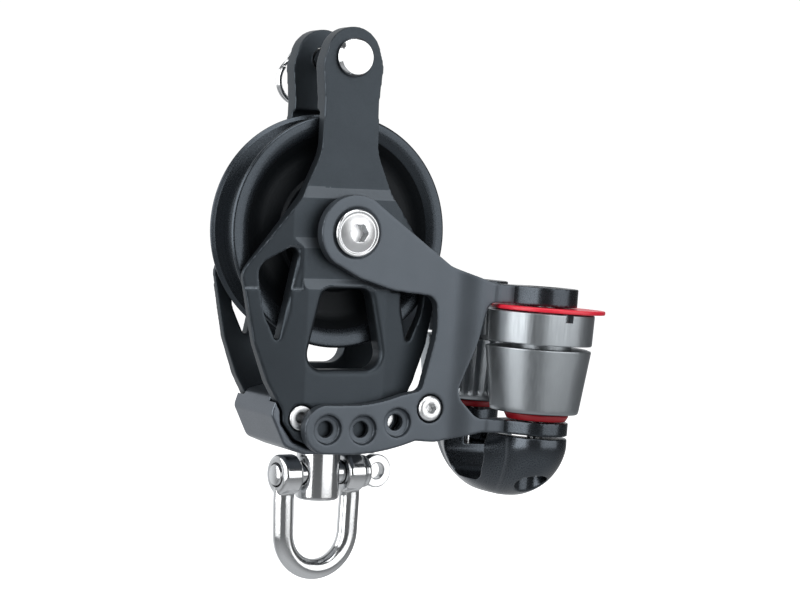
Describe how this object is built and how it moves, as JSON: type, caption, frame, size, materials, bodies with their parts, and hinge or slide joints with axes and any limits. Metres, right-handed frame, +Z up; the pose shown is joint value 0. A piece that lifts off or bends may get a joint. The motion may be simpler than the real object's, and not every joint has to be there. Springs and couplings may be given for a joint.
{
  "type": "single sheave block with cam cleat",
  "caption": "Single sheave block with a clevis becket, a swivel shackle, and side arms that carry a cam cleat and fairlead.",
  "frame": {"origin": "middle of the becket pin, on the block's middle plane", "axes": "+Z up through the becket, away from the shackle; +Y along the sheave's axis, away from the side with the bolt head; +X towards the cam cleat"},
  "size_m": [0.1031, 0.067, 0.1455],
  "materials": {
    "anodised_dark": "fine bead-blasted dark grey hard anodising",
    "anodised_grey": "satin grey anodising",
    "sheave_black": "turned, near-black hard anodising",
    "cam_metal": "satin turned grey anodising",
    "red_plastic": "moulded red plastic",
    "ball_plastic": "white bearing plastic",
    "fairlead_dark": "smooth dark hard anodising",
    "polished_stainless": "polished stainless steel"
  },
  "bodies": {
    "frame": {"near_cheek": "anodised_dark", "far_cheek": "anodised_dark", "head_block": "anodised_grey", "head_bush_left": "polished_stainless", "head_bush_right": "polished_stainless", "inner_race": "polished_stainless", "centre_bolt": "polished_stainless", "centre_nut": "polished_stainless", "near_arm": "anodised_dark", "far_arm": "anodised_dark", "tie_bolt": "polished_stainless", "tie_nut": "polished_stainless", "tie_spacer": "polished_stainless", "fairlead": "fairlead_dark", "near_cam_washer": "red_plastic", "far_cam_washer": "red_plastic", "near_cam_bush": "ball_plastic", "far_cam_bush": "ball_plastic", "near_cam_spring": "polished_stainless", "far_cam_spring": "polished_stainless", "near_cam_pivot": "polished_stainless", "far_cam_pivot": "polished_stainless", "near_fairlead_screw": "polished_stainless", "far_fairlead_screw": "polished_stainless"},
    "sheave": {"sheave": "sheave_black"},
    "ball_race_near": {"ball_race_near": "ball_plastic"},
    "ball_race_far": {"ball_race_far": "ball_plastic"},
    "near_cam": {"near_cam": "cam_metal", "near_cam_cap": "red_plastic"},
    "far_cam": {"far_cam": "cam_metal", "far_cam_cap": "red_plastic"},
    "swivel": {"swivel_post": "polished_stainless", "swivel_nut": "polished_stainless"},
    "shackle": {"shackle_bow": "polished_stainless", "shackle_pin": "polished_stainless"},
    "becket_pin": {"becket_pin": "polished_stainless"},
    "split_ring": {"split_ring": "polished_stainless"}
  },
  "joints": [
    {"name": "sheave_spin", "type": "hinge", "parent": "frame", "child": "sheave", "pos_m": [0, 0, -0.045], "axis": [0, 1, 0], "continuous": true},
    {"name": "near_race_turn", "type": "hinge", "parent": "frame", "child": "ball_race_near", "pos_m": [0, 0, -0.045], "axis": [0, 1, 0], "continuous": true},
    {"name": "far_race_turn", "type": "hinge", "parent": "frame", "child": "ball_race_far", "pos_m": [0, 0, -0.045], "axis": [0, 1, 0], "continuous": true},
    {"name": "near_cam_turn", "type": "hinge", "parent": "frame", "child": "near_cam", "pos_m": [0.05541, -0.019, -0.07715], "axis": [-0.0384, 0, -0.9993], "range_deg": [0, 50], "stiffness_Nm_per_rad": 0.03, "springref_deg": -34.38},
    {"name": "far_cam_turn", "type": "hinge", "parent": "frame", "child": "far_cam", "pos_m": [0.05541, 0.019, -0.07715], "axis": [0.0384, 0, 0.9993], "range_deg": [0, 50], "stiffness_Nm_per_rad": 0.03, "springref_deg": -34.38},
    {"name": "swivel_turn", "type": "hinge", "parent": "frame", "child": "swivel", "pos_m": [0, 0, -0.103], "axis": [0, 0, 1], "continuous": true},
    {"name": "shackle_swing", "type": "hinge", "parent": "swivel", "child": "shackle", "pos_m": [0, 0, -0.1092], "axis": [0.9903, 0.1392, 0], "range_deg": [-95, 95]},
    {"name": "becket_pin_turn", "type": "hinge", "parent": "frame", "child": "becket_pin", "pos_m": [0, 0, 0], "axis": [0, 1, 0], "continuous": true},
    {"name": "split_ring_swing", "type": "hinge", "parent": "becket_pin", "child": "split_ring", "pos_m": [0, 0.0224, 0], "axis": [1, 0, 0], "range_deg": [-40, 90]}
  ],
  "couplings": [
    {"joint": "near_race_turn", "follows": "sheave_spin", "ratio": 0.57},
    {"joint": "far_race_turn", "follows": "sheave_spin", "ratio": 0.57}
  ]
}
